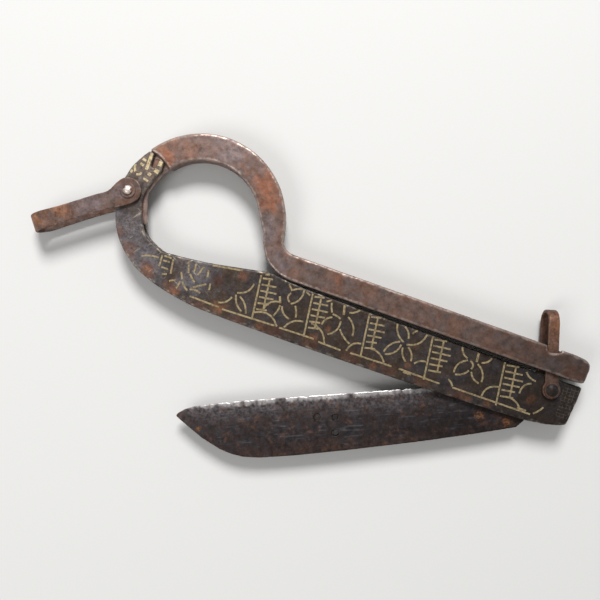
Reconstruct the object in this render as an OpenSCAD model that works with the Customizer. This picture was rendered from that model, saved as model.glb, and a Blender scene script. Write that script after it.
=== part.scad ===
// Folding betel nut cutter: an inlaid iron case of two cheeks, a ringed lever bar hinged at one end,
// a knife blade pivoted at the other, a locking bail through the bar and a carrying bail.
// The case lies along X and the blade pin is the reference point for every place in the plan.
// +Z points at the inlaid front, and Z = 0 is the plane that the back lies on.

/* [Case] */
// Distance along X from the blade pin to the hinge pin
hinge_reach = 185.6; // [180:0.2:192]
// Height of the hinge pin above the blade pin in the plan
hinge_rise = 18.4; // [17:0.1:20]
// Thickness of one cheek
cheek_t = 2.1; // [1.6:0.1:2.4]
// Width of the slot between the cheeks
slot_w = 3.4; // [3.0:0.1:4.0]
// Overhang of the case past the blade pin
case_end = 11.9; // [10:0.1:13]

/* [Lever] */
// Outer radius of the ring
ring_r = 34.2; // [32:0.1:35]
// Width of the ring's band
band_w = 11.0; // [9:0.1:12]
// Height of the bar's lower edge above the blade pin
bar_low = 6.1; // [5.9:0.1:7]
// Width of the straight bar
bar_w = 10.3; // [9:0.1:12]
// Depth of the bar at its free end
bar_depth = 14.0; // [13.4:0.1:16]
// Depth of the ring at its shoulder
ring_depth = 8.0; // [7.6:0.1:10]
// Radius of the shoulder about the hinge pin
shoulder_r = 18.3; // [18:0.1:20]
// Thickness of the tongue that runs between the cheeks
tongue_t = 3.0; // [2.6:0.1:3.2]
// Length of the mortise along the bar
mortise_len = 11.2; // [11:0.1:13]
// Distance of the mortise's near end past the blade pin
mortise_reach = 1.4; // [1.2:0.1:1.8]
// Depth of the dip worn in the bar's upper edge beside the mortise
dip = 2.0; // [0.5:0.1:3]

/* [Blade] */
// Thickness of the blade along its back
blade_t = 2.8; // [2.2:0.1:3.0]
// Thickness of the cutting edge
edge_t = 0.5; // [0.3:0.05:1]
// Distance that the blade's point stops short of the hinge pin
point_short = 34.8; // [33:0.1:60]
// Angle that the blade stands open from the case at rest
blade_open = 23.7; // [0:0.1:110]
// Distance of the cutting edge from the pin's axis
edge_rise = 4.0; // [3.6:0.1:4.6]
// Radius of the two holes through the blade
blade_hole_r = 1.2; // [0.8:0.1:1.5]

/* [Bails] */
// Thickness of the straps
strap_t = 1.3; // [1.0:0.1:1.4]
// Length of the locking bail from its pin to the top of its bow
lock_len = 32.0; // [30:0.1:36]
// Width of the locking bail
lock_w = 4.3; // [3.8:0.1:4.8]
// Radius of the locking bail's eyes
lock_eye_r = 3.7; // [3.4:0.1:4]
// Direction of the locking bail from the blade pin
lock_dir = 106.9; // [104:0.1:112]
// Length of the carrying bail from its pin to the end of its bow
carry_len = 41.5; // [38:0.1:44]
// Width of the carrying bail
carry_w = 6.7; // [5:0.1:8]
// Distance of the carrying bail's middle line from its pin
carry_offset = 1.05; // [0:0.05:1.5]
// Radius of the carrying bail's eyes
carry_eye_r = 5.3; // [4.8:0.1:5.6]
// Direction of the carrying bail from the hinge pin
carry_dir = 216.9; // [190:0.1:240]

/* [Pins] */
// Radius of the blade pin and of the hinge pin
pin_r = 1.6; // [1.3:0.1:1.9]
// Radius of the blade pin's domed head
blade_head_r = 2.6; // [2.2:0.1:3]
// Radius of the hinge pin's domed head
hinge_head_r = 2.1; // [2:0.1:3]
// Height of the domed heads
head_h = 1.25; // [1:0.05:1.3]
// Radius of the washers under the heads
washer_r = 3.1; // [2.8:0.1:3.6]
// Thickness of the washers
washer_t = 0.35; // [0.3:0.05:0.4]
// Radius of the hidden rivets that hold the limb spacer
rivet_r = 1.1; // [0.9:0.1:1.3]
// Iron left over the ends of the hidden rivets
rivet_cover = 0.6; // [0.4:0.1:1]

/* [Inlay] */
// Width of the inlaid wire
wire_w = 0.7; // [0.4:0.05:0.8]
// Depth of the inlaid wire
wire_t = 0.35; // [0.2:0.05:0.5]
// Width of the few thicker wires
thick_w = 0.9; // [0.7:0.05:1.1]
// Number of rungs in a ladder band
rungs = 6; // [4:1:6]
// Distance from one rung to the next
rung_step = 2.5; // [2:0.1:2.6]

/* [Clearances] */
// Radial clearance of a pin in a piece that turns on it
run_gap = 0.05; // [0.02:0.01:0.08]
// Gap between pieces that slide past each other face to face
side_gap = 0.15; // [0.1:0.01:0.2]
// Gap between the wire and the sides of its groove
groove_gap = 0.02; // [0.01:0.01:0.04]
// Gap between the folded blade's point and the spacer
point_gap = 0.8; // [0.5:0.1:2]

/* [Hidden] */
$fn = 72;

hinge = [-hinge_reach, hinge_rise];
mid_z = bar_depth / 2;
case_t = slot_w + 2 * cheek_t;
front_z = mid_z + case_t / 2;
back_z = mid_z - case_t / 2;
bar_high = bar_low + bar_w;
ring_c = hinge + [ring_r - 3.5, -0.7];
bore_in = ring_r - band_w;
blade_len = hinge_reach - point_short;
knuckle_r = 6.6;
rivet_places = from_hinge([[2.2, -15.2], [10.4, -23.8], [25, -29.8]]);

// The bails straddle the cheeks, and the washers and heads lie on the bails.
strap_in = case_t / 2 + side_gap;
strap_out = strap_in + strap_t;
washer_in = strap_out + side_gap;
head_in = washer_in + washer_t;

// Rounding where the bar leaves the ring, outside and inside the bend.
crook_out = 6;
crook_in = 16.8;
crook_x = ring_c[0] + sqrt(pow(ring_r + crook_out, 2) - pow(bar_high + crook_out - ring_c[1], 2));
crook_shift = 2.5;
bar_end = case_end - 0.6;

// Edges of the carrying bail's strap on both sides of the line through its pin, and the bow's flare.
carry_near = carry_offset - carry_w / 2;
carry_far = carry_offset + carry_w / 2;
carry_flare = 0.5;

// The box of the whole part, which sets the origin under its middle.
min_x = hinge[0] + carry_len * cos(carry_dir) - (carry_near - carry_flare) * sin(carry_dir);
max_x = case_end;
min_y = min([for (p = blade_outline()) turned(p, blade_open)[1]]);
max_y = ring_c[1] + ring_r;
shift = [-(min_x + max_x) / 2, -(min_y + max_y) / 2, 0];

function from_hinge(points) = [for (p = points) hinge + p];
function from_point(points) = [for (p = points) [p[0] - blade_len, p[1]]];
function turned(p, a) = [p[0] * cos(a) - p[1] * sin(a), p[0] * sin(a) + p[1] * cos(a)];
function arc(c, r, a0, a1, n) =
    [for (i = [0:n]) let(a = a0 + (a1 - a0) * i / n) c + r * [cos(a), sin(a)]];

// A smooth run through points p, with n steps to each span.
function knot(p, i) = p[min(max(i, 0), len(p) - 1)];
function span(a, b, c, d, t) =
    0.5 * (2 * b + (c - a) * t + (2 * a - 5 * b + 4 * c - d) * t * t
        + (3 * b - a - 3 * c + d) * t * t * t);
function smooth(p, n) = concat(
    [for (i = [0:len(p) - 2], j = [0:n - 1])
        span(knot(p, i - 1), p[i], p[i + 1], knot(p, i + 2), j / n)],
    [p[len(p) - 1]]
);

// A bow from p to q that stands off its chord by sag, to the left of the way it runs.
function bow(p, q, sag) =
    let(d = q - p, left = [-d[1], d[0]] / norm(d), n = sag == 0 ? 1 : abs(sag) < 0.5 ? 3 : 5)
    [for (i = [0:n]) let(t = i / n) p + d * t + left * sag * 4 * t * (1 - t)];
function side_of(p, i) =
    let(d = knot(p, i + 1) - knot(p, i - 1)) [-d[1], d[0]] / norm(d);
function ribbon(p, w) = concat(
    [for (i = [0:len(p) - 1]) p[i] + side_of(p, i) * w / 2],
    [for (i = [len(p) - 1:-1:0]) p[i] - side_of(p, i) * w / 2]
);

module seated() {
    translate(shift) children();
}

module at(p) {
    translate([p[0], p[1], mid_z]) children();
}

// A disc or bore centred on the middle plane.
module drum(r, depth) {
    cylinder(r = r, h = depth, center = true);
}

module dome(r, h) {
    sphere_r = (r * r + h * h) / (2 * h);
    rotate_extrude()
        intersection() {
            translate([0, h - sphere_r]) circle(r = sphere_r);
            square([r, h]);
        }
}

// Plan outlines

function case_top() = smooth(concat(
    [[case_end, 5.0], [-5, 4.8], [-45, 4.8], [-85, 5.0]],
    from_hinge([[82.6, -13.1], [73.6, -12.8], [68.1, -12.1], [64.6, -11.7], [60.6, -12.5],
                [51.6, -14.2], [41.6, -16.1], [31.6, -17.4], [22, -18.3]])
), 3);
function limb_inside() = smooth(from_hinge([
    [20.1, -18], [15.4, -16.2], [11.4, -13.4], [8.4, -8], [6.3, -1.8], [6.3, 2], [7.7, 6.6], [9.7, 12]
]), 3);

// The two tabs of the finial reach up to the ring's shoulder, with a notch between them.
function finial() = concat(
    arc(hinge, shoulder_r - side_gap, 59, 66, 2),
    from_hinge([[6.9, 12.6], [6.3, 12.1], [5.4, 12], [4.9, 12.6]]),
    arc(hinge, shoulder_r - side_gap, 75, 82, 2),
    from_hinge([[0.9, 15.6], [-0.9, 12.4]])
);
function limb_outside() = smooth(from_hinge([
    [-2.2, 9.8], [-3.5, 4.1], [-3.9, -1.4], [-3.1, -6.9], [-1, -13.6], [2.4, -19.3],
    [6.8, -23.9], [13, -28.3], [20.6, -31.3], [29.6, -33.5], [39.6, -35], [55.6, -35.5]
]), 3);
function case_bottom() = [
    [-105, -17.2], [-80, -17], [-50, -16.5], [-20, -15.7], [-5, -14.9],
    [3, -13.8], [7.9, -12.5], [case_end - 1.1, -11.1], [case_end - 0.6, -5], [case_end - 0.2, -1.5]
];
function cheek_outline() =
    concat(case_top(), limb_inside(), finial(), limb_outside(), case_bottom());

function blade_outline() = concat(
    [[-7.5, edge_rise]],
    from_point([[30, edge_rise], [13.9, edge_rise - 0.4], [7.8, edge_rise - 0.9],
                [3.7, edge_rise - 1.8], [0.8, 0.8], [0, 0], [0.3, -0.6], [1.9, -2.2],
                [10, -9.9], [16.8, -14.9], [21.2, -17.1], [25.6, -18.6], [32.6, -19.5],
                [46.8, -19.6]]),
    [[-83.5, -19.0], [-52.9, -17.6], [-30, -16], [-14, -14.6]],
    arc([0, 0], 5.0, 262, 330, 3)
);

function lever_outline() = concat(
    arc(ring_c, ring_r, 152, asin((bar_high + crook_out - ring_c[1]) / (ring_r + crook_out)), 28),
    arc([crook_x, bar_high + crook_out], crook_out, 200, 270, 6),
    [[bar_end - 7, bar_high], [bar_end - 2.4, bar_high - 0.5], [bar_end - 0.6, bar_high - 1.7],
     [bar_end, bar_high - 3.4], [bar_end - 0.3, bar_low + 0.9], [bar_end - 0.9, bar_low + 0.2],
     [bar_end - 3, bar_low]],
    arc([crook_x + crook_shift, bar_low + crook_in], crook_in, 270, 190, 10),
    arc(ring_c, bore_in, 26, 152, 24)
);

// The tongue runs on from the ring, past the hinge pin, to a tail that closes the limb's mouth.
function tongue_outline() = concat(
    arc(ring_c, ring_r - 0.2, 136, 171, 8),
    smooth(from_hinge([[-3.5, 0], [-2, -3.8], [2, -6], [5.8, -8.5], [8.6, -10.8]]), 3),
    smooth(from_hinge([[10.3, -11], [10.8, -9.7], [9, -5.3], [7.6, -1], [7, 2.2]]), 3),
    arc(ring_c, bore_in + 0.3, 168, 136, 7)
);

// Case

module cheek_plate(z) {
    translate([0, 0, z]) linear_extrude(cheek_t) polygon(cheek_outline());
}

module case_bores() {
    at([0, 0]) drum(pin_r, 3 * case_t);
    at(hinge) drum(pin_r, 3 * case_t);
    rivets();
}

// The rivets end inside the cheeks, so nothing of them shows.
module rivets() {
    for (p = rivet_places) at(p) drum(rivet_r, case_t - 2 * rivet_cover);
}

module front_cheek() {
    color([0.20, 0.18, 0.17]) seated()
        difference() {
            cheek_plate(mid_z + slot_w / 2);
            case_bores();
            on_front(true) all_motifs();
        }
}

module back_cheek() {
    color([0.20, 0.18, 0.17]) seated()
        difference() {
            cheek_plate(back_z);
            case_bores();
            on_back(true) all_motifs();
        }
}

// The spacer fills the outer side of the limb and stays clear of the blade's point and the tongue.
module limb_spacer() {
    outside = smooth(from_hinge([
        [-1, -6.4], [0, -13], [3.2, -18.6], [7.4, -23.1], [13.4, -27.4], [20.6, -30.4],
        [29.6, -32.5], [36.6, -33.8]
    ]), 3);
    inside = smooth(from_hinge([
        [36.6, -27.9], [29.6, -27.2], [22.6, -25.4], [15.6, -21.8], [9.8, -17.2], [5.2, -12],
        [2, -7.8]
    ]), 3);
    color([0.24, 0.20, 0.17]) seated()
        difference() {
            at([0, 0]) linear_extrude(slot_w, center = true) polygon(concat(outside, inside));
            at([0, 0]) drum(blade_len + point_gap, 2 * slot_w);
            at(hinge) drum(knuckle_r, 2 * slot_w);
            rivets();
        }
}

module spacer_rivets() {
    color([0.26, 0.21, 0.18]) seated() rivets();
}

module pin(place, head_r) {
    at(place) {
        drum(pin_r, 2 * head_in);
        for (side = [0, 1]) mirror([0, 0, side]) translate([0, 0, head_in]) dome(head_r, head_h);
    }
}

module washers(place) {
    at(place)
        for (side = [0, 1]) mirror([0, 0, side]) translate([0, 0, washer_in])
            difference() {
                cylinder(r = washer_r, h = washer_t);
                translate([0, 0, -1]) cylinder(r = pin_r, h = washer_t + 2);
            }
}

module hinge_pin() {
    color([0.62, 0.50, 0.40]) seated() pin(hinge, hinge_head_r);
}

module hinge_washers() {
    color([0.40, 0.22, 0.14]) seated() washers(hinge);
}

module blade_pin() {
    color([0.50, 0.36, 0.26]) seated() pin([0, 0], blade_head_r);
}

module blade_washers() {
    color([0.40, 0.24, 0.16]) seated() washers([0, 0]);
}

// Inlay: each wire is a bent strip let into a groove of its own

// Places a motif at the front face, as wires, or a little taller to cut their grooves.
module on_front(cutting) {
    $grow = cutting ? groove_gap : 0;
    $deep = wire_t + (cutting ? 0.3 : 0);
    translate([0, 0, front_z - wire_t]) children();
}

module on_back(cutting) {
    $grow = cutting ? groove_gap : 0;
    $deep = wire_t + (cutting ? 0.3 : 0);
    translate([0, 0, back_z + wire_t - $deep]) children();
}

module wire(p, w) {
    linear_extrude($deep) polygon(ribbon(p, w + 2 * $grow));
}

// Each stroke is a start, an end and the bow's sag.
module lay(strokes, w = wire_w) {
    for (s = strokes) wire(bow(s[0], s[1], s[2]), w);
}

// A small plate let into the face.
module plate(c, size, tilt = -14) {
    translate([c[0], c[1], 0]) rotate([0, 0, tilt])
        translate([-size[0] / 2 - $grow, -size[1] / 2 - $grow, 0])
            cube([size[0] + 2 * $grow, size[1] + 2 * $grow, $deep]);
}

// Ladders: the upper end of each left rail, and the distance to its right rail.
ladder_x = [-124.3, -102.4, -78.3, -51.4, -20.8];
ladder_gap = [3.7, 3.7, 3.6, 4.7, 4.8];
ladder_top = 4.3;
ladder_foot = -13.2;
lean = 0.13;
// How far each rung runs on past the right rail, from the top down.
rung_over = [1.2, 3.2, 3.8, 3.0, 1.6, 1.4];

function on_rail(x, y) = [x + (ladder_top - y) * lean, y];

module ladder(x, gap) {
    wire([on_rail(x, ladder_top), on_rail(x, ladder_foot)], wire_w);
    wire([on_rail(x + gap, ladder_top), on_rail(x + gap, ladder_foot + 5)], wire_w);
    for (i = [0:rungs - 1]) {
        y = ladder_top - 0.9 - i * rung_step;
        wire([on_rail(x, y) + [0.9, 0], on_rail(x + gap, y) + [rung_over[i], 0.9]], wire_w);
    }
}

module ladders() {
    for (i = [0:len(ladder_x) - 1]) ladder(ladder_x[i], ladder_gap[i]);
}

// The border line runs from ladder to ladder along the lower edge.
module border() {
    lay([
        [[-148.5, -13.1], [-136, -13.4], 0],
        [[-134.6, -13.7], [-112.6, -12.9], 0],
        [[-110.6, -13], [-96, -12.6], 0],
        [[-94, -13.1], [-84.4, -13.3], 0],
        [[-80.4, -13], [-63, -12.5], 0],
        [[-60, -12.4], [-42.6, -12.6], 0],
        [[-37.2, -12.3], [-4.4, -12], 0]
    ]);
    lay([[[-10.2, -11.2], [-6.4, -11.2], 0], [[-58, -13.1], [-54.6, -13.1], 0]]);
}

// Low arches spring from the border line to each ladder, and fall from it on the other side.
module arches() {
    lay([
        [[-122.2, -10.7], [-111.6, -12.9], 2.5],
        [[-108.8, -12.3], [-102.2, -7.5], 1.3],
        [[-99, -7], [-91.5, -12.9], 1.7],
        [[-82.2, -12.7], [-77.4, -8], 1.3],
        [[-75.7, -9.2], [-66.4, -12.1], 1.9],
        [[-54.9, -8.4], [-50.6, -6.2], 0.6],
        [[-39.9, -9.7], [-37.4, -11.9], 0.3],
        [[-25.2, -11.9], [-19.9, -5.9], 1.7],
        [[-16, -8.6], [-8.7, -11.8], 1.3],
        [[-3.4, -11.3], [-0.3, -7.6], -0.3]
    ]);
}

// Flowers: each has its own petals, and the case's upper edge cuts the upper ones short.
module flowers() {
    lay([
        [[-119, -8.2], [-114, -3.3], 1.3],
        [[-113.2, -4.4], [-114.4, -9.3], 0.4],
        [[-112.4, -4.5], [-108, -8.4], -0.9],
        [[-112.5, 4.7], [-110.6, 2.6], 0],
        [[-110.3, 3], [-106.9, 4.6], 0.3],
        [[-106.1, 4.6], [-109.4, -2.5], 1.4],
        [[-110.7, 1.6], [-110, -2], -1],
        [[-105.1, 4.2], [-103.2, 3.2], 0],
        [[-107.4, -2.6], [-105.7, -7], 0.3]
    ]);
    lay([
        [[-96.2, 3.1], [-94.4, 4.4], 0],
        [[-94, 3.4], [-92.6, -0.2], -0.2],
        [[-92.2, -0.7], [-88.6, -1.5], 0.2],
        [[-91.9, -1.9], [-95, -6.2], -0.8],
        [[-88.2, -2.3], [-91.5, -9], 1.4],
        [[-87.5, -5.4], [-81.8, -9.7], -0.5],
        [[-86.1, 2], [-82.3, 4.4], -0.4],
        [[-86, 0.3], [-81.8, -6.4], 1.2]
    ]);
    lay([
        [[-66.4, 4.3], [-61.7, -1.8], -1.1],
        [[-63.2, 4.3], [-60.3, 0.2], 0.6],
        [[-53.8, 4.3], [-60.3, -2.3], 1.8],
        [[-57.8, 4.4], [-59.4, 2.5], -0.3],
        [[-63.1, -2], [-68, -8], -1],
        [[-62.2, -3], [-67.2, -8.8], 1.3],
        [[-59.3, -3.1], [-56.4, -8], 0.8],
        [[-61.3, -3.9], [-58.3, -8.9], -0.7]
    ]);
    lay([
        [[-38.8, 4.2], [-35.4, 0.7], -0.7],
        [[-26.2, 4], [-29.6, 0.9], 0.7],
        [[-35, 0], [-38.8, -6.5], -1.4],
        [[-38, -7], [-33.3, -3.7], -0.7],
        [[-34, 0.1], [-32.6, -2.9], 0.9],
        [[-30.8, -0.1], [-27, -6.4], 1.2],
        [[-32.2, -3.9], [-27.9, -7.2], -0.8]
    ]);
    lay([
        [[-11.4, 3.4], [-6.6, 1.2], -0.6],
        [[-8, -0.2], [-11.2, -5.6], -1.2]
    ]);
    lay([
        [[-114.5, -1.1], [-113.4, -3.7], 0],
        [[-88.9, 4.4], [-87.9, 0.4], 0],
        [[-31.9, 4.2], [-31.5, 0.5], 0]
    ], thick_w);
}

// A square spiral, a star of short strokes and a leaf on the limb's end of the case.
module scrolls() {
    lay(from_star([
        [[-4.1, 6.9], [-2.6, 2.4], 0],
        [[-1, 6.8], [-0.6, 3.6], 0],
        [[2.4, 6.8], [1.1, 2.9], 0],
        [[4.6, 6.2], [5.1, 3.3], 0],
        [[-5.5, 1.9], [-4.2, -0.8], 0],
        [[-1.9, 2.3], [0.9, -0.2], -0.2],
        [[-3.8, -1.6], [-0.7, -4.4], -0.3],
        [[-4.6, -1.8], [-5.3, -5], 0],
        [[0.9, -2.4], [5.6, 0.6], 0],
        [[7, 1.4], [7.4, -1.2], 0],
        [[0, -3.6], [4.4, -3.6], 0.5],
        [[-8.9, -3.2], [-6.4, -1.7], 0]
    ]));
    lay(from_spiral([
        [[-2.7, 2.2], [-2.4, -2.4], 0],
        [[-1.8, 0.4], [1, 0.6], 0],
        [[-1.9, 2.3], [1.2, 2.3], 0],
        [[-1.5, -2.4], [1.3, -2.3], 0],
        [[2, 2.1], [2.9, -3.7], 0],
        [[-0.4, -5], [1.5, -4.3], 0],
        [[-10.4, -0.9], [-3.7, 0.8], 0.5]
    ]));
    lay([
        [[-125.8, 0.2], [-131, -5.5], 1.4],
        [[-131.2, -6.4], [-126.9, -12], -0.9],
        [[-129.5, -6.5], [-125, -12.3], 0.8],
        [[-132.4, -7.8], [-137, -11.7], 0.9],
        [[-122.9, 5.1], [-121.1, 5.7], 0],
        [[-144, 1.5], [-132, 3.6], 0]
    ]);
}
function from_star(strokes) = moved(strokes, hinge + [36.2, -25.4]);
function from_spiral(strokes) = moved(strokes, hinge + [24, -22]);
function moved(strokes, by) = [for (s = strokes) [s[0] + by, s[1] + by, s[2]]];

// Silver and brass plates on the finial: a comb on one tab, two squares on the other, a leaf below.
module finial_plates() {
    plate(hinge + [3.8, 13.6], [1.3, 6.6], 0);
    plate(hinge + [1.8, 13.8], [1.6, 1.0]);
    plate(hinge + [1.5, 11.7], [1.6, 1.0]);
    plate(hinge + [8.3, 14.3], [1.6, 2.0], 0);
    plate(hinge + [7.9, 11.1], [2.0, 1.6]);
    plate(hinge + [5.6, 9], [1.4, 1.2]);
    plate(hinge + [4.9, 6.4], [2.2, 0.8]);
    plate(hinge + [-1.6, 7.8], [1, 1.3]);
    lay(moved([[[-0.9, 10.9], [-0.1, 8.2], -0.3], [[0.6, 7.3], [2.3, 8.6], -0.5]], hinge), thick_w);
}

// Each motif is laid up to the ones before it, and never over them.
module motif(i) {
    if (i == 0) ladders();
    if (i == 1) border();
    if (i == 2) arches();
    if (i == 3) flowers();
    if (i == 4) scrolls();
}

module all_motifs() {
    for (i = [0:4]) motif(i);
    finial_plates();
}

brass = [0.72, 0.60, 0.34];
pale = [0.8, 0.76, 0.62];

module front_motif(i) {
    color(brass) seated() difference() {
        on_front(false) motif(i);
        if (i > 0) on_front(true) for (j = [0:i - 1]) motif(j);
    }
}

module back_motif(i) {
    color(brass) seated() difference() {
        on_back(false) motif(i);
        if (i > 0) on_back(true) for (j = [0:i - 1]) motif(j);
    }
}

module front_ladders() { front_motif(0); }
module front_border() { front_motif(1); }
module front_arches() { front_motif(2); }
module front_flowers() { front_motif(3); }
module front_scrolls() { front_motif(4); }
module front_finial_plates() { color(pale) seated() on_front(false) finial_plates(); }
module back_ladders() { back_motif(0); }
module back_border() { back_motif(1); }
module back_arches() { back_motif(2); }
module back_flowers() { back_motif(3); }
module back_scrolls() { back_motif(4); }
module back_finial_plates() { color(pale) seated() on_back(false) finial_plates(); }

// Lever

// Seen from the side, the lever deepens from the ring's shoulder to the free end of the bar.
module lever_side() {
    half = ring_depth / 2;
    full = bar_depth / 2;
    ring_side = ring_c[0] - ring_r - 1;
    thin_to = hinge[0] + shoulder_r;
    full_from = mortise_reach - mortise_len - 4;
    polygon([
        [ring_side, -half], [thin_to, -half], [full_from, -full], [bar_end - 1, -full],
        [bar_end + 1, 1 - full], [bar_end + 1, full - 1], [bar_end - 1, full],
        [full_from, full], [thin_to, half], [ring_side, half]
    ]);
}

module mortise() {
    at([mortise_reach - mortise_len / 2, (bar_low + bar_high) / 2])
        cube([mortise_len, bar_w + 2, 2 * (strap_out + side_gap)], center = true);
    // A dip in each wall, where the strap has worn its way in.
    dip_w = lock_w + 1;
    at([0, 0]) rotate([0, 0, lock_dir])
        translate([bar_high / sin(lock_dir) - dip, -dip_w / 2, -bar_depth])
            cube([2 * dip, dip_w, 2 * bar_depth]);
}

module lever_bar() {
    color([0.36, 0.24, 0.19]) seated()
        difference() {
            union() {
                difference() {
                    intersection() {
                        at([0, 0]) linear_extrude(bar_depth, center = true) polygon(lever_outline());
                        at([0, 0]) rotate([90, 0, 0])
                            linear_extrude(6 * ring_r, center = true) lever_side();
                    }
                    at(hinge) drum(shoulder_r, 2 * bar_depth);
                }
                at([0, 0]) linear_extrude(tongue_t, center = true) polygon(tongue_outline());
            }
            at(hinge) drum(pin_r + run_gap, 2 * bar_depth);
            mortise();
        }
}

// Blade

// Across the blade: full thickness along the back, thinning to the cutting edge.
module blade_section() {
    back = -25;
    bevel = edge_rise - 9;
    over = edge_rise + 1;
    polygon([
        [back, -blade_t / 2], [bevel, 0.15 - blade_t / 2], [edge_rise, -edge_t / 2], [over, -edge_t / 2],
        [over, edge_t / 2], [edge_rise, edge_t / 2], [bevel, blade_t / 2 - 0.15], [back, blade_t / 2]
    ]);
}

hole_places = [[-86.6, -5.4], [-86.9, -11.6]];
plug_place = [-93.7, -4.7];

module blade() {
    color([0.30, 0.29, 0.29]) seated() at([0, 0]) rotate([0, 0, blade_open])
        difference() {
            intersection() {
                linear_extrude(2 * blade_t, center = true) polygon(blade_outline());
                rotate([90, 0, 90]) linear_extrude(3 * blade_len, center = true) blade_section();
            }
            drum(pin_r + run_gap, 2 * blade_t);
            for (p = hole_places) translate(p) drum(blade_hole_r, 2 * blade_t);
            translate(plug_place) drum(blade_hole_r, 2 * blade_t);
        }
}

module blade_plug() {
    color([0.36, 0.27, 0.22]) seated() at([0, 0]) rotate([0, 0, blade_open])
        translate(plug_place) drum(blade_hole_r, blade_t - 0.5);
}

// Bails

// The strap seen from its side: two legs joined by a half round bow, from the pin at x = 0.
module strap_side(len, eye) {
    straight = len - strap_out;
    difference() {
        union() {
            translate([-eye, -strap_out]) square([straight + eye, 2 * strap_out]);
            translate([straight, 0]) circle(r = strap_out);
        }
        translate([-eye - 1, -strap_in]) square([straight + eye + 1, 2 * strap_in]);
        translate([straight, 0]) circle(r = strap_in);
    }
}

module bail(len, eye, outline) {
    difference() {
        intersection() {
            rotate([90, 0, 0]) linear_extrude(3 * eye, center = true) strap_side(len, eye);
            linear_extrude(4 * strap_out, center = true)
                union() {
                    circle(r = eye);
                    polygon(outline);
                }
        }
        drum(pin_r + run_gap, 4 * strap_out);
    }
}

module locking_bail() {
    root = lock_w / 2 + 0.6;
    side = lock_w / 2;
    color([0.52, 0.33, 0.22]) seated() at([0, 0]) rotate([0, 0, lock_dir])
        bail(lock_len, lock_eye_r, [
            [0, -root], [6, -root], [12, -side - 0.2], [lock_len + 1, -side],
            [lock_len + 1, side], [12, side + 0.2], [6, root], [0, root]
        ]);
}

// The strap of the carrying bail leaves its eyes by a neck and flares a little at the bow.
module carrying_bail() {
    near = concat(
        smooth([[0, -carry_eye_r], [3.4, -4.4], [6, carry_near - 0.7], [8.4, carry_near + 0.1],
                [13.8, carry_near - 0.1], [28, carry_near - 0.1]], 3),
        [[36, carry_near - carry_flare], [carry_len + 1, carry_near - carry_flare]]
    );
    far = concat(
        [[carry_len + 1, carry_far - 0.1], [36, carry_far + 0.2], [26, carry_far]],
        smooth([[17.6, carry_far], [9.3, carry_far + 0.3], [4, carry_eye_r + 0.1], [0, carry_eye_r]], 3)
    );
    color([0.48, 0.31, 0.22]) seated() at(hinge) rotate([0, 0, carry_dir])
        bail(carry_len, carry_eye_r, concat(near, far));
}

front_cheek();
back_cheek();
limb_spacer();
spacer_rivets();
hinge_pin();
hinge_washers();
blade_pin();
blade_washers();
front_ladders();
front_flowers();
front_arches();
front_border();
front_scrolls();
front_finial_plates();
back_ladders();
back_flowers();
back_arches();
back_border();
back_scrolls();
back_finial_plates();
lever_bar();
blade();
blade_plug();
locking_bail();
carrying_bail();
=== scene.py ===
# %% [markdown]
# # A folding cutter for betel nuts
# The real thing is a pocket knife for areca nuts, forged in iron and inlaid with brass wire. Two flat
# cheeks make the case, a ringed bar closes down on the nut, and a knife blade folds in between the
# cheeks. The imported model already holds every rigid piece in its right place. This lesson gives those
# pieces the skin of old iron: rounded edges, pits, rust, worn places and dull brass.
# We load the model first and keep its box, because nothing that we add may grow the object.

import math

import bmesh
import bpy
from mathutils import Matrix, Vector, noise


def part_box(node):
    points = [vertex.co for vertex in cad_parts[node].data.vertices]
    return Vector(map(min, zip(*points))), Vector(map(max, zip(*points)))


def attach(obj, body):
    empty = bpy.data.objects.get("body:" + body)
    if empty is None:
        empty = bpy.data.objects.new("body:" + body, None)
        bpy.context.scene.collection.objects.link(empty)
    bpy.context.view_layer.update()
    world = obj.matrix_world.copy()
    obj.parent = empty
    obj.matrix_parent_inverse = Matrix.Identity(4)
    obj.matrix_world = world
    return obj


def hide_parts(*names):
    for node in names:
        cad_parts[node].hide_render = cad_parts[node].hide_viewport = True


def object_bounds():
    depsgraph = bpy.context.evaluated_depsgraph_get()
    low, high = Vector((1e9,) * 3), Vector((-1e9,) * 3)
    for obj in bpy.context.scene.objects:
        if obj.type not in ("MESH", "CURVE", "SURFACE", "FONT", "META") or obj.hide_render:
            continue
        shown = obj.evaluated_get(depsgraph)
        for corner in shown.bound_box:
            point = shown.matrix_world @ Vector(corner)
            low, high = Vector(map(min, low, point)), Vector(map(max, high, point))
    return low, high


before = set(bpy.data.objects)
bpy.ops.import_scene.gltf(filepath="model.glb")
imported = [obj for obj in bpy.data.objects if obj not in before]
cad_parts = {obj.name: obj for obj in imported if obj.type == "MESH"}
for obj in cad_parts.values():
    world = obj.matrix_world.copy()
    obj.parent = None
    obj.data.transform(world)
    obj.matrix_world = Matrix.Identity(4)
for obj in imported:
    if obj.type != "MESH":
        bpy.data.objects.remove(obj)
packed_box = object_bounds()
MM = 0.001

# %% [markdown]
# The stains and the camera are placed from the two pins, as a smith would mark them out.
# The pins' places are read from the model, so all of these move with it. `plan` turns a distance
# from the blade pin, in millimetres, into a point on the front of the case.

# %% Find the two pins
def middle_of(node):
    low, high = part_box(node)
    return (low + high) / 2

blade_pin = middle_of("blade_pin")
hinge_pin = middle_of("hinge_pin")
front_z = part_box("front_cheek")[1].z

def plan(x, y):
    return Vector((blade_pin.x + x * MM, blade_pin.y + y * MM, front_z))

print("pins are %.1f mm apart" % ((hinge_pin - blade_pin).length / MM))

# %% [markdown]
# The camera looks straight down, as in the photograph, and it is rolled so that the case falls to
# the right. A short distance gives the slight perspective that lets us see the inner walls of the
# limb. The lens is worked out from the width that the picture takes in at the front of the case,
# which is 240 mm. `add` links a new object to the scene, for the camera and for all that follows.

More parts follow.
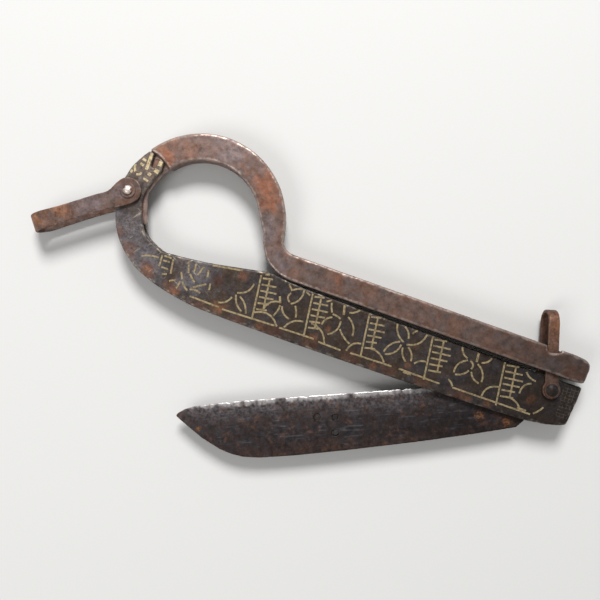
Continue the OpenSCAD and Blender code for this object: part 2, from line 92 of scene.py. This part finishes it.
# %% Set up the camera
def add(name, data):
    made = bpy.data.objects.new(name, data)
    bpy.context.scene.collection.objects.link(made)
    return made

VIEW_WIDTH = 240 * MM
VIEW_HEIGHT_ABOVE = 270 * MM
ROLL = math.radians(19.6)
picture_middle = plan(-106.4, 0.2)

lens = bpy.data.cameras.new("record_camera")
lens.sensor_width = 36
lens.lens = lens.sensor_width * VIEW_HEIGHT_ABOVE / VIEW_WIDTH
camera = add("record_camera", lens)
camera.location = picture_middle + Vector((0, 0, VIEW_HEIGHT_ABOVE))
camera.rotation_euler = (0, 0, ROLL)
bpy.context.scene.camera = camera
print("lens %.1f mm at %.0f mm" % (lens.lens, VIEW_HEIGHT_ABOVE / MM))

# %% [markdown]
# A material is a small network of nodes. Writing it as arithmetic keeps it readable, so one class
# wraps a socket and lets Python's own operators add the Math nodes. A second class holds the material
# and makes every other kind of node through one method: its type, its settings and its inputs.

# %% A socket that can be added and multiplied
class Value:
    def __init__(self, finish, socket):
        self.finish, self.socket = finish, socket

    def maths(self, operation, first, second):
        return self.finish.node("ShaderNodeMath", {"operation": operation}, {0: first, 1: second})

    def __add__(self, other):
        return self.maths("ADD", self, other)

    def __sub__(self, other):
        return self.maths("SUBTRACT", self, other)

    def __rsub__(self, other):
        return self.maths("SUBTRACT", other, self)

    def __mul__(self, other):
        return self.maths("MULTIPLY", self, other)

    __radd__ = __add__
    __rmul__ = __mul__

    def most(self, other):
        return self.maths("MAXIMUM", self, other)

    def between(self, low, high):
        """0 below low, 1 above high, and smooth in between. With high under low it falls instead."""
        falls = high < low
        ends = {1: high, 2: low} if falls else {1: low, 2: high}
        rise = self.finish.node("ShaderNodeMapRange", {"interpolation_type": "SMOOTHSTEP"},
                                {0: self, **ends})
        return 1 - rise if falls else rise

    def ticks(self, step):
        """1 on fine lines `step` millimetres apart, and 0 between them."""
        return self.maths("PINGPONG", self, step / 2 * MM).between(0.16 * MM, 0.06 * MM)

    def close(self, reach):
        """1 where the value lies within `reach` millimetres of nought."""
        return self.maths("ABSOLUTE", self, 0).between((reach + 0.3) * MM, (reach - 0.3) * MM)

# %% A material that is built from expressions
class Finish:
    def __init__(self, name):
        self.material = bpy.data.materials.new(name)
        self.material.use_nodes = True
        self.tree = self.material.node_tree
        self.shader = self.tree.nodes["Principled BSDF"]
        self.where = self.node("ShaderNodeTexCoord", {}, {}, "Object")

    def node(self, kind, settings, inputs, output=0):
        made = self.tree.nodes.new(kind)
        for name, value in settings.items():
            setattr(made, name, value)
        for key, value in inputs.items():
            self.feed(made.inputs[key], value)
        return Value(self, made.outputs[output])

    def feed(self, socket, value):
        if isinstance(value, Value):
            self.tree.links.new(value.socket, socket)
        elif isinstance(value, tuple) and len(value) == 3 and socket.type == "RGBA":
            socket.default_value = (*value, 1)
        else:
            socket.default_value = value

    def grain(self, size, detail=3.0, rough=0.55):
        """Noise whose patches are about `size` millimetres across."""
        return self.node("ShaderNodeTexNoise", {}, {
            "Vector": self.where, "Scale": 1 / (size * MM), "Detail": detail, "Roughness": rough})

    def scratches(self, turn):
        """Short thin marks that all run the same way, `turn` radians from X."""
        turned = self.node("ShaderNodeMapping", {"vector_type": "TEXTURE"},
                           {"Vector": self.where, "Rotation": (0, 0, turn), "Scale": (7, 1, 1)})
        marks = self.node("ShaderNodeTexNoise", {},
                          {"Vector": turned, "Scale": 1 / (0.8 * MM), "Detail": 3.0})
        return marks.between(0.60, 0.70)

    def mix(self, amount, first, second):
        made = self.tree.nodes.new("ShaderNodeMix")
        made.data_type = "RGBA"
        for index, value in ((0, amount), (6, first), (7, second)):
            self.feed(made.inputs[index], value)
        return Value(self, made.outputs[2])

    def near(self, place, radius, soft=0.6, where=None):
        """A ragged patch of about `radius` millimetres: 1 near its place, 0 further away."""
        away = self.node("ShaderNodeVectorMath", {"operation": "DISTANCE"},
                         {0: where or self.where, 1: tuple(place)}, "Value")
        ragged = away + (self.grain(radius * 0.9, 5, 0.6) - 0.5) * (radius * 3.0 * MM)
        return ragged.between(radius * (1 + soft) * MM, radius * (1 - soft) * MM)

    def scaled(self, colour, amount):
        return self.node("ShaderNodeVectorMath", {"operation": "SCALE"}, {0: colour, 3: amount})

    def along_case(self, start, end):
        """0 at `start` and 1 at `end`, in millimetres along the case from the blade pin."""
        x = self.node("ShaderNodeSeparateXYZ", {}, {"Vector": self.where}, "X")
        return x.between(plan(start, 0).x, plan(end, 0).x)

    def worn(self):
        return self.node("ShaderNodeAttribute", {"attribute_name": "worn"}, {}, "Fac")

    def finish(self, colour, rough, metal, bumps, depth):
        """Feeds the shader. `bumps` goes from 0 to 1, and `depth` is its height in millimetres."""
        self.shader.inputs["Specular IOR Level"].default_value = 0.2
        self.feed(self.shader.inputs["Base Color"], colour)
        self.feed(self.shader.inputs["Roughness"], rough)
        self.feed(self.shader.inputs["Metallic"], metal)
        bump = self.node("ShaderNodeBump", {},
                         {"Height": bumps, "Distance": depth * MM, "Strength": 1.0}, "Normal")
        self.feed(self.shader.inputs["Normal"], bump)
        print("%s: %d nodes" % (self.material.name, len(self.tree.nodes)))
        return self.material

# %% [markdown]
# Old iron is never one colour. A warm brown-grey lies over the whole piece, cooler blue-grey shows
# where the oxide is thin, rust gathers in patches, and handling polishes the edges, whose pale colour
# is also a painted highlight. Each of these is a mask made of noise at its own scale, and the masks
# lay one colour over another. The same recipe, with other colours and amounts, serves for the case,
# the bar and the bails. `stains` is a function that adds what belongs to one piece alone. The
# photograph gets darker along the case, and `shade` paints that light and shade into the colour:
# brighter at the limb and darker towards the free end, and `dark_end` is how much darker the free end
# is.
# The polish of an edge begins where its wear passes `wear_from`.

# %% Old iron
def old_iron(name, warm, cool, rust, bright, rusty=0.35, metal=0.45, depth=0.10, stains=None,
             dark_end=0.42, wear_from=0.50):
    f = Finish(name)
    clouds = f.grain(8.0, 4)
    mottle = f.grain(1.4, 4, 0.65)
    colour = f.mix((clouds * 0.6 + mottle * 0.4).between(0.38, 0.62), warm, cool)
    patches = f.grain(4.5, 5, 0.62) * 0.7 + f.grain(0.9, 2) * 0.3
    patches = patches.between(0.60 - 0.12 * rusty, 0.76)
    colour = f.mix(patches * (0.45 + 0.45 * rusty), colour, rust)
    soot = f.grain(1.1, 4, 0.7).between(0.50, 0.34)
    colour = f.mix(soot * 0.35, colour, tuple(c * 0.4 for c in warm))
    flecks = f.grain(0.55, 3, 0.6).between(0.56, 0.72)
    colour = f.mix(flecks * 0.3, colour, tuple(c * 0.4 for c in bright))
    if stains:
        colour = stains(f, colour)
    # Painted light and shade: brighter towards the limb and darker towards the free end of the case.
    shade = 1 + f.along_case(-105, -170) * 0.55 - f.along_case(-60, 5) * dark_end
    colour = f.scaled(colour, f.grain(2.8, 5, 0.6) * 2.0 * shade)
    # Rubbed edges are worn metal, painted pale as a highlight too; the paint fades to half towards the
    # free end.
    rubbed_and_glint = (f.worn() + (f.grain(2.4, 5, 0.62) - 0.5) * 1.8).between(wear_from, wear_from + 0.6)
    rubbed_and_glint = rubbed_and_glint * (1 - f.along_case(-120, -30) * 0.5)
    colour = f.mix(rubbed_and_glint * 0.7, colour, bright)
    rough = 0.56 - mottle * 0.16 + patches * 0.2 - rubbed_and_glint * 0.12
    shine = metal + rubbed_and_glint * 0.3 - patches * (metal * 0.7)
    return f.finish(colour, rough, shine, f.grain(0.7, 3, 0.6) * 0.6 + f.grain(3.0, 3) * 0.4, depth)

# %% [markdown]
# Some stains belong to one place, and the photograph shows them: rust on the shoulder of the ring, a
# red patch and a dark pit where it bends, a rusty foot along the case. `spots` lays a list of them in
# one colour. Each is given by its place from the blade pin and its radius, in millimetres.

# %% Stains in their places
def spots(f, colour, places, tone, strength):
    broken = f.grain(0.9, 4, 0.65).between(0.30, 0.60) * strength
    for x, y, r in places:
        colour = f.mix(f.near(plan(x, y), r) * broken, colour, tone)
    return colour

LIMB_GREYS = (-181, 4, 8.0), (-172, -7, 7.0), (-150, -4, 7.0)
FINIAL_BROWN = ((-182, 30, 8.0),)
FOOT = ((-185, 1), (-178, -4), (-168, -9), (-157, -13.5), (-143, -17), (-128, -16.5), (-112, -16),
        (-97, -15.3), (-80, -15.3), (-64, -15.3), (-50, -15.3), (-34, -15))
FOOT_RUST = [(x, y, 3.2) for x, y in FOOT]
CASE_RUST = ((-131, 1.5, 2.0), (-57, -10, 1.3), (-30, -14.5, 1.5), (-22, -14, 1.7), (-6, -6.5, 1.8),
             (-96, -12, 1.6), (-92, -7, 1.2), (-168, -8.5, 1.8), (-155, -13.2, 1.6),
             (-136, -13.5, 2.4), (-118, -15, 1.8), (-70, -15, 1.6))
CASE_PITS = (-140, -3.5, 2.2), (-110, -14.5, 2.0), (-46, -6, 1.5)

# %% [markdown]
# Two kinds of mark are cut and not stained. Short bright scratches cross on the limb, where much of
# the inlay has worn off. At the case's free end a hatch of fine crossing lines is engraved. It is a
# pattern of its own, so a Mapping node centres it on its place before the lines are drawn.

# %% Scratches on the limb and the engraved hatch
def limb_scratches(f, colour):
    marks = f.scratches(0.9).most(f.scratches(-0.5)) * f.grain(3.0, 3).between(0.44, 0.60)
    return f.mix(marks * f.along_case(-136, -152) * 0.5, colour, (0.30, 0.25, 0.19))

def hatch(f, colour):
    low = f.node("ShaderNodeMapping", {"vector_type": "TEXTURE"},
                 {"Vector": f.where, "Location": tuple(plan(8.2, -2.4)), "Rotation": (0, 0, 0.05)})
    x, y = (f.node("ShaderNodeSeparateXYZ", {}, {"Vector": low}, axis) for axis in ("X", "Y"))
    lines = x.ticks(1.5).most(y.ticks(1.3))
    inside = x.close(3.4) * y.close(6.6) * f.grain(1.0, 3).between(0.38, 0.58)
    return f.mix(lines * inside * 0.5, colour, (0.24, 0.185, 0.12))

# %% Stain the case
def case_stains(f, colour):
    colour = spots(f, colour, LIMB_GREYS, (0.108, 0.098, 0.105), 0.75)
    colour = spots(f, colour, FINIAL_BROWN, (0.135, 0.105, 0.088), 0.8)
    colour = spots(f, colour, FOOT_RUST, (0.110, 0.050, 0.032), 0.7)
    colour = spots(f, colour, CASE_RUST, (0.165, 0.070, 0.036), 0.75)
    colour = spots(f, colour, CASE_PITS, (0.060, 0.026, 0.020), 0.8)
    return hatch(f, limb_scratches(f, colour))

# %% [markdown]
# The bar and the bails have fewer stains. The bar is orange at its shoulder and where it bends, and
# lilac-grey between. The bails are orange at their ends. The hinge pin's crown is worn bright and
# painted near-white as a highlight, and the flange round the crown is brown.

# %% Stain the bar, the bails and the pin, and paint the pin's highlight
BAR_ORANGE = ((-134.5, 39.5, 4.2), (-130.8, 33.0, 4.2), (-176.5, 35.5, 3.4), (-52, 12, 2.0),
              (-20, 13, 2.4), (-95, 13, 2.0))
BAR_GREYS = (-128, 22, 6.0), (-152, 47, 6.0), (-118, 12, 5.0)
BAR_PITS = (-136.7, 36.1, 0.9), (-5.6, 12.4, 2.2), (-80, 9.5, 0.9)
BAIL_GREYS = (-198, 8.5, 6.0), (-188, 17, 3.0)
BAIL_BROWN = ((-6, 20, 14.0),)
BAIL_ORANGE = (-209, 2.5, 3.0), (-217, -5, 3.4), (-4, 27, 6.0)
CROWN_GLINT_RADIUS = 1.9

def bar_stains(f, colour):
    colour = spots(f, colour, BAR_ORANGE, (0.24, 0.085, 0.040), 0.75)
    colour = spots(f, colour, BAR_GREYS, (0.150, 0.122, 0.125), 0.7)
    return spots(f, colour, BAR_PITS, (0.05, 0.027, 0.024), 0.9)

def bail_stains(f, colour):
    colour = spots(f, colour, BAIL_GREYS, (0.115, 0.092, 0.096), 0.8)
    colour = spots(f, colour, BAIL_BROWN, (0.17, 0.088, 0.058), 0.8)
    return spots(f, colour, BAIL_ORANGE, (0.25, 0.105, 0.048), 0.75)

# Painted highlight: a near-white disc is kept on the pin's crown, and the rest of the pin is brown.
def pin_flange_and_glint(f, colour):
    top = Vector((hinge_pin.x, hinge_pin.y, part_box("hinge_pin")[1].z))
    return f.mix(1 - f.near(top, CROWN_GLINT_RADIUS, 0.2), colour, (0.13, 0.062, 0.040))

# %% [markdown]
# Now the recipe is mixed five times. The colours are linear values: warm and cool iron, rust, and
# the pale colour of a rubbed edge, which is worn metal and a painted highlight in one. They were
# matched to the photograph region by region.

# %% Mix the irons of this cutter
iron_case = old_iron("iron_case", (0.046, 0.031, 0.022), (0.041, 0.036, 0.038),
                     (0.12, 0.050, 0.027), (0.44, 0.38, 0.31),
                     rusty=0.3, metal=0.35, depth=0.10, stains=case_stains, wear_from=0.30)
iron_bar = old_iron("iron_bar", (0.145, 0.077, 0.054), (0.112, 0.083, 0.076),
                    (0.17, 0.070, 0.038), (0.50, 0.40, 0.35),
                    rusty=0.35, metal=0.30, depth=0.06, stains=bar_stains)
iron_bail = old_iron("iron_bail", (0.092, 0.046, 0.030), (0.085, 0.060, 0.052),
                     (0.21, 0.082, 0.036), (0.50, 0.40, 0.34),
                     rusty=0.6, metal=0.30, depth=0.06, stains=bail_stains, dark_end=0.1)
iron_inner = old_iron("iron_inner", (0.16, 0.085, 0.052), (0.12, 0.080, 0.062),
                      (0.22, 0.090, 0.040), (0.30, 0.21, 0.16), rusty=0.9, metal=0.2)
# The pin's pale colours show only on its crown, as worn metal and a painted highlight.
pin_iron_and_glint = old_iron("pin_iron_and_glint", (0.45, 0.37, 0.32), (0.55, 0.50, 0.47),
                    (0.30, 0.16, 0.09), (0.82, 0.80, 0.78),
                    rusty=0.1, metal=0.75, depth=0.03, stains=pin_flange_and_glint)

# %% [markdown]
# The blade is cleaner steel than the case, dark and slightly blue, with long faint marks from the
# stone, and rust towards its back and its pin. A painted sheen lightens it towards the edge, and
# painted shade darkens its back and the end by the pin, where the case shades it. The blade lies open,
# so a Mapping node turns the pattern with it. After that `reach` runs along the blade, from 0 at its
# pin to -0.15 at its point, and `height` rises towards the edge, both in metres. The marks are noise
# stretched a long way.

# %% Steel, painted sheen and streaks
BLADE_OPEN = math.radians(23.7)

def steel_tones(f, height, clouds, mottle, streaks):
    colour = f.mix((clouds * 0.4 + streaks * 0.25 + mottle * 0.35).between(0.38, 0.62),
                   (0.042, 0.028, 0.024), (0.040, 0.036, 0.041))
    # Painted sheen: the steel is painted paler in a band towards the edge.
    painted_sheen = (height + (clouds - 0.5) * 0.012).between(-0.006, 0.004) * mottle.between(0.35, 0.65)
    colour = f.mix(painted_sheen * 0.7, colour, (0.150, 0.132, 0.136))
    colour = f.mix(streaks.between(0.56, 0.66) * clouds.between(0.46, 0.60) * 0.4, colour,
                   (0.15, 0.14, 0.145))
    flecks = f.grain(0.5, 3, 0.6).between(0.57, 0.70)
    return f.mix(flecks * 0.25, colour, (0.16, 0.135, 0.13))

# %% [markdown]
# Rust is a mask first, because it also makes the steel rougher and less metallic. It covers the
# back, the end by the pin and a few patches elsewhere. The stains are placed as on the case, but
# from the pin along the blade: two orange ones near it, one at the point, and painted shade round
# the holes.

# %% Rust, stains and painted shade of the blade
BLADE_ORANGE = (-28.5, -9.0, 1.7), (-18.0, -12.0, 1.5), (-141.8, -6.0, 0.8)
BLADE_HOLES = (-86.6, -5.4), (-86.9, -11.6), (-94.0, -5.2)
HOLE_SHADE = 1.5

def steel_rust(f, reach, height):
    back = (height + (f.grain(4, 4) - 0.5) * 0.014).between(-0.011, -0.019)
    pin_end = (reach + (f.grain(6, 4) - 0.5) * 0.02).between(-0.034, -0.016)
    return (f.grain(3.2, 5, 0.65).between(0.55, 0.68) * 0.8).most(
        back.most(pin_end) * f.grain(2.0, 5, 0.68).between(0.36, 0.72))

def steel_stains(f, colour, reach, height):
    flat = f.node("ShaderNodeCombineXYZ", {}, {"X": reach, "Y": height})
    broken = f.grain(0.9, 4, 0.65).between(0.38, 0.62)
    for x, y, r in BLADE_ORANGE:
        patch = f.near((x * MM, y * MM, 0), r, 0.6, flat)
        colour = f.mix(patch * broken * 0.8, colour, (0.25, 0.100, 0.034))
    # Painted shade: a dark ring is painted round each hole.
    for x, y in BLADE_HOLES:
        hole_shade = f.near((x * MM, y * MM, 0), HOLE_SHADE, 0.25, flat)
        colour = f.mix(hole_shade * 0.85, colour, (0.016, 0.011, 0.010))
    return colour

# %% [markdown]
# The honed band along the edge is bare steel, and its pale colour is a painted highlight as well, so
# it is the brightest thing on the blade. Its polish and glint are kept in some lengths and lost in
# others, so a one-dimensional noise along the blade switches them on and off.

# %% The blade's steel
def blade_steel():
    f = Finish("steel_blade")
    turned = f.node("ShaderNodeMapping", {"vector_type": "TEXTURE"}, {
        "Vector": f.where, "Location": tuple(blade_pin), "Rotation": (0, 0, BLADE_OPEN)})
    reach = f.node("ShaderNodeSeparateXYZ", {}, {"Vector": turned}, "X")
    height = f.node("ShaderNodeSeparateXYZ", {}, {"Vector": turned}, "Y")
    streaks = f.node("ShaderNodeTexNoise", {}, {
        "Vector": f.node("ShaderNodeMapping", {}, {"Vector": turned, "Scale": (0.08, 1, 1)}),
        "Scale": 1 / (0.9 * MM), "Detail": 3.0})
    mottle, clouds = f.grain(1.3, 4, 0.65), f.grain(8, 4)
    rust = steel_rust(f, reach, height)
    colour = steel_tones(f, height, clouds, mottle, streaks)
    colour = f.mix(rust * 0.6, colour, (0.135, 0.060, 0.030))
    # Painted shade: the blade is darker towards its back and towards its pin, where the case shades it.
    shade = 0.68 + height.between(-0.018, -0.002) * 0.32
    shade = shade * (1 - reach.between(-0.075, -0.030) * 0.35)
    colour = f.scaled(colour, f.grain(2.2, 5, 0.6) * 2.0 * shade)
    colour = steel_stains(f, colour, reach, height)
    kept = f.node("ShaderNodeTexNoise", {"noise_dimensions": "1D"},
                  {"W": reach, "Scale": 1 / (7 * MM), "Detail": 3.0})
    # Painted highlight: the honed band is painted near-white, on and off along the edge.
    honed_and_glint = (height + (f.grain(1.6, 4) - 0.5) * 0.0030).between(0.0014, 0.0036)
    honed_and_glint = honed_and_glint * kept.between(0.30, 0.56)
    rubbed_and_glint = honed_and_glint.most((f.worn() + (mottle - 0.5) * 0.8).between(0.55, 1.0))
    colour = f.mix(rubbed_and_glint * 0.85, colour, (0.66, 0.63, 0.62))
    rough = 0.46 + rust * 0.25 - rubbed_and_glint * 0.12
    return f.finish(colour, rough, 0.5 + rubbed_and_glint * 0.3 - rust * 0.4,
                    streaks * 0.3 + f.grain(0.8, 3) * 0.7, 0.08)

steel_blade = blade_steel()

# %% [markdown]
# The inlay is brass wire hammered into cut grooves. It has gone dull, it is dark where dirt fills its
# scratches, and in places it has worn away. A noise mask turns short lengths of it back to the
# iron's brown, so the lines look broken without any change to the wires themselves.

# %% Brass wire and pale plates
def dull_brass(name, colour, lost):
    f = Finish(name)
    tarnish = f.grain(1.2, 4, 0.6)
    tone = f.mix(tarnish.between(0.36, 0.60), tuple(c * 0.5 for c in colour), colour)
    gone = (f.grain(5.0, 3) * 0.6 + f.grain(1.0, 3) * 0.4).between(0.57 - lost, 0.66 - lost)
    tone = f.mix(gone * 0.75, tone, (0.12, 0.088, 0.062))
    return f.finish(tone, 0.42 + gone * 0.2, 0.6 - gone * 0.3, f.grain(0.7, 3), 0.06)

brass_wire = dull_brass("brass_wire", (0.44, 0.345, 0.195), 0.01)
pale_plate = dull_brass("pale_plate", (0.72, 0.58, 0.35), 0.0)

# %% [markdown]
# A CAD solid has knife-sharp edges and flat faces, and a forging has neither. The way to wear a piece
# down is to copy its mesh, wrap the copy in an even skin with a voxel remesh, and smooth that skin:
# edges move and flats stay. How far each point moved is kept as the attribute `worn`, so the
# material knows where hands and use have rubbed. Then noise pushes pits and hammer marks inwards and
# never outwards. Smoothing does fill inner corners a little, by 0.4 mm at most, beside the bar's
# tongue and mortise. `aged` does all of it.
# Between the wear and the hammer it can call a function that cuts something into the skin.

# %% Wrap a copy of a solid in an even skin
def copy_of(node):
    work = bmesh.new()
    work.from_mesh(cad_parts[node].data)
    bmesh.ops.remove_doubles(work, verts=work.verts, dist=0.001 * MM)
    return work

def skin(work, grid):
    """The bmesh's shape as a closed skin of squares, `grid` millimetres wide."""
    mesh = bpy.data.meshes.new("raw")
    work.to_mesh(mesh)
    holder = add("raw", mesh)
    wrap = holder.modifiers.new("wrap", "REMESH")
    wrap.mode, wrap.voxel_size = "VOXEL", grid * MM
    wrapped = holder.evaluated_get(bpy.context.evaluated_depsgraph_get()).to_mesh()
    work.clear()
    work.from_mesh(wrapped)
    bpy.data.objects.remove(holder)
    return work

# %% Smooth it, and remember where it moved
def wear(work, passes, grid):
    """Rounds the edges. The attribute `worn` is 1 at a sharp old edge and fades beside it."""
    work.verts.index_update()
    start = [v.co.copy() for v in work.verts]
    for _ in range(passes):
        bmesh.ops.smooth_vert(work, verts=work.verts, factor=0.5,
                              use_axis_x=True, use_axis_y=True, use_axis_z=True)
    sharp = 0.8 * grid * MM
    worn = [min(1.0, (v.co - before).length / sharp) for v, before in zip(work.verts, start)]
    ends = [(e.verts[0].index, e.verts[1].index) for e in work.edges]
    for _ in range(2):
        wider = list(worn)
        for a, b in ends:
            wider[a] = max(wider[a], worn[b] * 0.85)
            wider[b] = max(wider[b], worn[a] * 0.85)
        worn = wider
    layer = work.verts.layers.float.new("worn")
    for v, amount in zip(work.verts, worn):
        v[layer] = amount
    return work

# %% Hammer marks and pits
HOLLOW_SIZE, PIT_SIZE = 9, 1.5

def hammer(work, marks, pits, seed):
    """Pushes the skin inwards by up to `marks` in broad hollows and `pits` in small ones, in mm."""
    work.normal_update()
    shift = Vector((seed * 7.1, seed * 3.7, seed * 5.3))
    for v in work.verts:
        at = v.co / MM
        broad = 0.5 + 0.5 * noise.noise(at / HOLLOW_SIZE + shift)
        small = max(0.0, noise.noise(at / PIT_SIZE + shift) - 0.12)
        v.co -= v.normal * (marks * broad + pits * 1.6 * small) * MM
    return work

# %% All of it in one call
def aged(work, grid, passes, marks, pits, seed, cut=None):
    work = wear(skin(work, grid), passes, grid)
    if cut:
        work = cut(work)
    return hammer(work, marks, pits, seed)

# %% Make the piece
def piece(node, work, material, body):
    """The worn piece, which rides on `body` and replaces the node that it was copied from."""
    for face in work.faces:
        face.smooth = True
    mesh = bpy.data.meshes.new(node + "_worn")
    work.to_mesh(mesh)
    work.free()
    made = add(node + "_worn", mesh)
    mesh.materials.append(material)
    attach(made, body)
    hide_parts(node)
    print("%s: %d faces" % (made.name, len(mesh.polygons)))

# %% [markdown]
# The two cheeks are plates of sheet iron. In the solids their faces carry grooves for the wire, and a
# voxel skin would blur those. So each plate is raised again from its plain inner face: every other
# face is deleted, the blind rivet holes are filled, and what is left is extruded to the plate's
# thickness, less a hair, so that the wires stand just proud of it as they do once the iron around
# them has corroded. The grooves under the wires are then full of iron, where nobody can see it.

# %% The cheeks
HAIR = 0.05

def rivet_rims(work):
    """The edges round the blind rivet holes, which are found by the rivets that fill them."""
    rivets = [v.co.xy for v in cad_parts["spacer_rivets"].data.vertices]
    return [e for e in work.edges if e.is_boundary
            and all(min((v.co.xy - r).length for r in rivets) < 0.3 * MM for v in e.verts)]

def cheek(node, outward, seed):
    low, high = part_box(node)
    inner = low.z if outward > 0 else high.z
    work = copy_of(node)
    other = [f for f in work.faces if abs(f.calc_center_median().z - inner) > 0.01 * MM
             or abs(f.normal.z) < 0.99]
    bmesh.ops.delete(work, geom=other, context="FACES")
    bmesh.ops.edgeloop_fill(work, edges=rivet_rims(work))
    grown = bmesh.ops.extrude_face_region(work, geom=work.faces[:])
    top = [v for v in grown["geom"] if isinstance(v, bmesh.types.BMVert)]
    bmesh.ops.translate(work, verts=top, vec=(0, 0, outward * (high.z - low.z - HAIR * MM)))
    bmesh.ops.recalc_face_normals(work, faces=work.faces)
    work = aged(work, grid=0.36, passes=6, marks=0.0, pits=0.06, seed=seed)
    piece(node, work, iron_case, "case")

cheek("front_cheek", outward=1, seed=1)
cheek("back_cheek", outward=-1, seed=2)

# %% [markdown]
# The bar is the heaviest forging, with broad hammer hollows and edges rubbed round by the hand.

# %% The lever bar
forged = aged(copy_of("lever_bar"), grid=0.38, passes=20, marks=0.06, pits=0.06, seed=3)
piece("lever_bar", forged, iron_bar, "lever")

# %% [markdown]
# The blade must keep its edge, so it gets a finer skin and few smoothing passes. The edge itself,
# 4 mm above the pin's line, has small nicks: points in its last 2 mm are drawn back towards the spine
# where a noise along it is high. The nicks start 12 mm from the pin.

# %% The blade and its nicked edge
along = Vector((math.cos(BLADE_OPEN), math.sin(BLADE_OPEN), 0))
across = Vector((-math.sin(BLADE_OPEN), math.cos(BLADE_OPEN), 0))
EDGE, NICKED, NICKS_START = 4.0, 2.0, -12

def nick(work):
    for v in work.verts:
        at = v.co - blade_pin
        height, reach = at.dot(across) / MM, at.dot(along) / MM
        if height > EDGE - NICKED and reach < NICKS_START:
            depth = max(0.0, noise.noise(Vector((reach / 2.6, 0, 4))) - 0.1) * 0.9
            depth += max(0.0, noise.noise(Vector((reach / 0.9, 8, 1))) - 0.25) * 0.5
            v.co -= across * depth * (height - EDGE + NICKED) / NICKED * MM
    return work

ground = aged(copy_of("blade"), grid=0.3, passes=2, marks=0.04, pits=0.05, seed=4, cut=nick)
piece("blade", ground, steel_blade, "knife")

# %% [markdown]
# The two bails are bent from strap iron. They are handled a lot, so their edges are rounded more
# than the blade's.

# %% The bails
for node, body, seed in (("locking_bail", "lock", 5), ("carrying_bail", "carrier", 6)):
    bent = aged(copy_of(node), grid=0.26, passes=8, marks=0.03, pits=0.03, seed=seed)
    piece(node, bent, iron_bail, body)

# %% [markdown]
# Pins, washers and rivets are small, so a fine skin keeps their heads round and only takes off the
# turned look. They ride on the case, which carries them, and so does the spacer inside the limb.

# %% Pins, washers, rivets and spacer
for node, grid, passes, material, slot in (
        ("hinge_pin", 0.16, 4, pin_iron_and_glint, "worn_pin"), ("blade_pin", 0.16, 4, iron_case, "worn_pin"),
        ("hinge_washers", 0.12, 2, iron_bail, "rusty_iron"),
        ("blade_washers", 0.12, 2, iron_bail, "rusty_iron"),
        ("spacer_rivets", 0.2, 2, iron_case, "case_iron"),
        ("limb_spacer", 0.4, 2, iron_inner, "inner_iron")):
    small = aged(copy_of(node), grid, passes, marks=0.0, pits=0.06, seed=7)
    piece(node, small, material, "case")

# %% [markdown]
# The wires and plates of the inlay and the plug in the blade are used as they are. A CAD node keeps
# its mesh, and only its material changes.

# %% Give the inlay and the plug their finish
def give(node, material):
    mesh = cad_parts[node].data
    mesh.materials.clear()
    mesh.materials.append(material)

for side in ("front_", "back_"):
    for motif in ("ladders", "flowers", "arches", "border", "scrolls"):
        give(side + motif, brass_wire)
    give(side + "finial_plates", pale_plate)
give("blade_plug", iron_case)

# %% [markdown]
# The stage is a plain pale floor. It lies a hair under the lowest point of the cutter, so that no
# face of the bar shares a plane with it.

# %% The floor
FLOOR_SIZE, FLOOR_GAP = 3.0, 0.02

def floor_finish():
    f = Finish("pale_floor")
    f.feed(f.shader.inputs["Base Color"], (0.70, 0.695, 0.68))
    f.feed(f.shader.inputs["Roughness"], 0.9)
    return f.material

work = bmesh.new()
bmesh.ops.create_grid(work, x_segments=1, y_segments=1, size=FLOOR_SIZE)
bmesh.ops.translate(work, verts=work.verts, vec=(0, 0, packed_box[0].z - FLOOR_GAP * MM))
floor_mesh = bpy.data.meshes.new("floor")
work.to_mesh(floor_mesh)
work.free()
floor_mesh.materials.append(floor_finish())
floor = add("floor", floor_mesh)

# %% [markdown]
# One large soft lamp stands above the top of the picture, where the photograph's light seems to come
# from: the upper edges of the ring, the case and the blade catch it. A weak one fills from the lower
# left, and the world gives an even base. The view transform is Standard, so a colour comes out about
# as it is written. Each lamp's place is given in the picture's own directions, in metres.

# %% Lamps and world
def lamp(name, picture_right, picture_up, height, size, power):
    data = bpy.data.lights.new(name, "AREA")
    data.shape, data.size, data.energy = "DISK", size, power
    made = add(name, data)
    right = Vector((math.cos(ROLL), math.sin(ROLL), 0))
    up = Vector((-math.sin(ROLL), math.cos(ROLL), 0))
    beside = picture_middle + right * picture_right + up * picture_up
    made.location = beside + Vector((0, 0, height))
    towards = picture_middle - made.location
    made.rotation_euler = towards.to_track_quat("-Z", "Y").to_euler()
    print("%s lamp: %.1f W from %.2f m" % (name, power, towards.length))

lamp("key", picture_right=0.04, picture_up=0.85, height=0.88, size=0.45, power=16.0)
lamp("fill", picture_right=-0.50, picture_up=-0.35, height=0.70, size=0.50, power=2.5)

world = bpy.data.worlds.new("studio")
bpy.context.scene.world = world
world.use_nodes = True
background = world.node_tree.nodes["Background"]
background.inputs["Color"].default_value = (0.9, 0.9, 0.9, 1)
background.inputs["Strength"].default_value = 0.32
bpy.context.scene.view_settings.view_transform = "Standard"
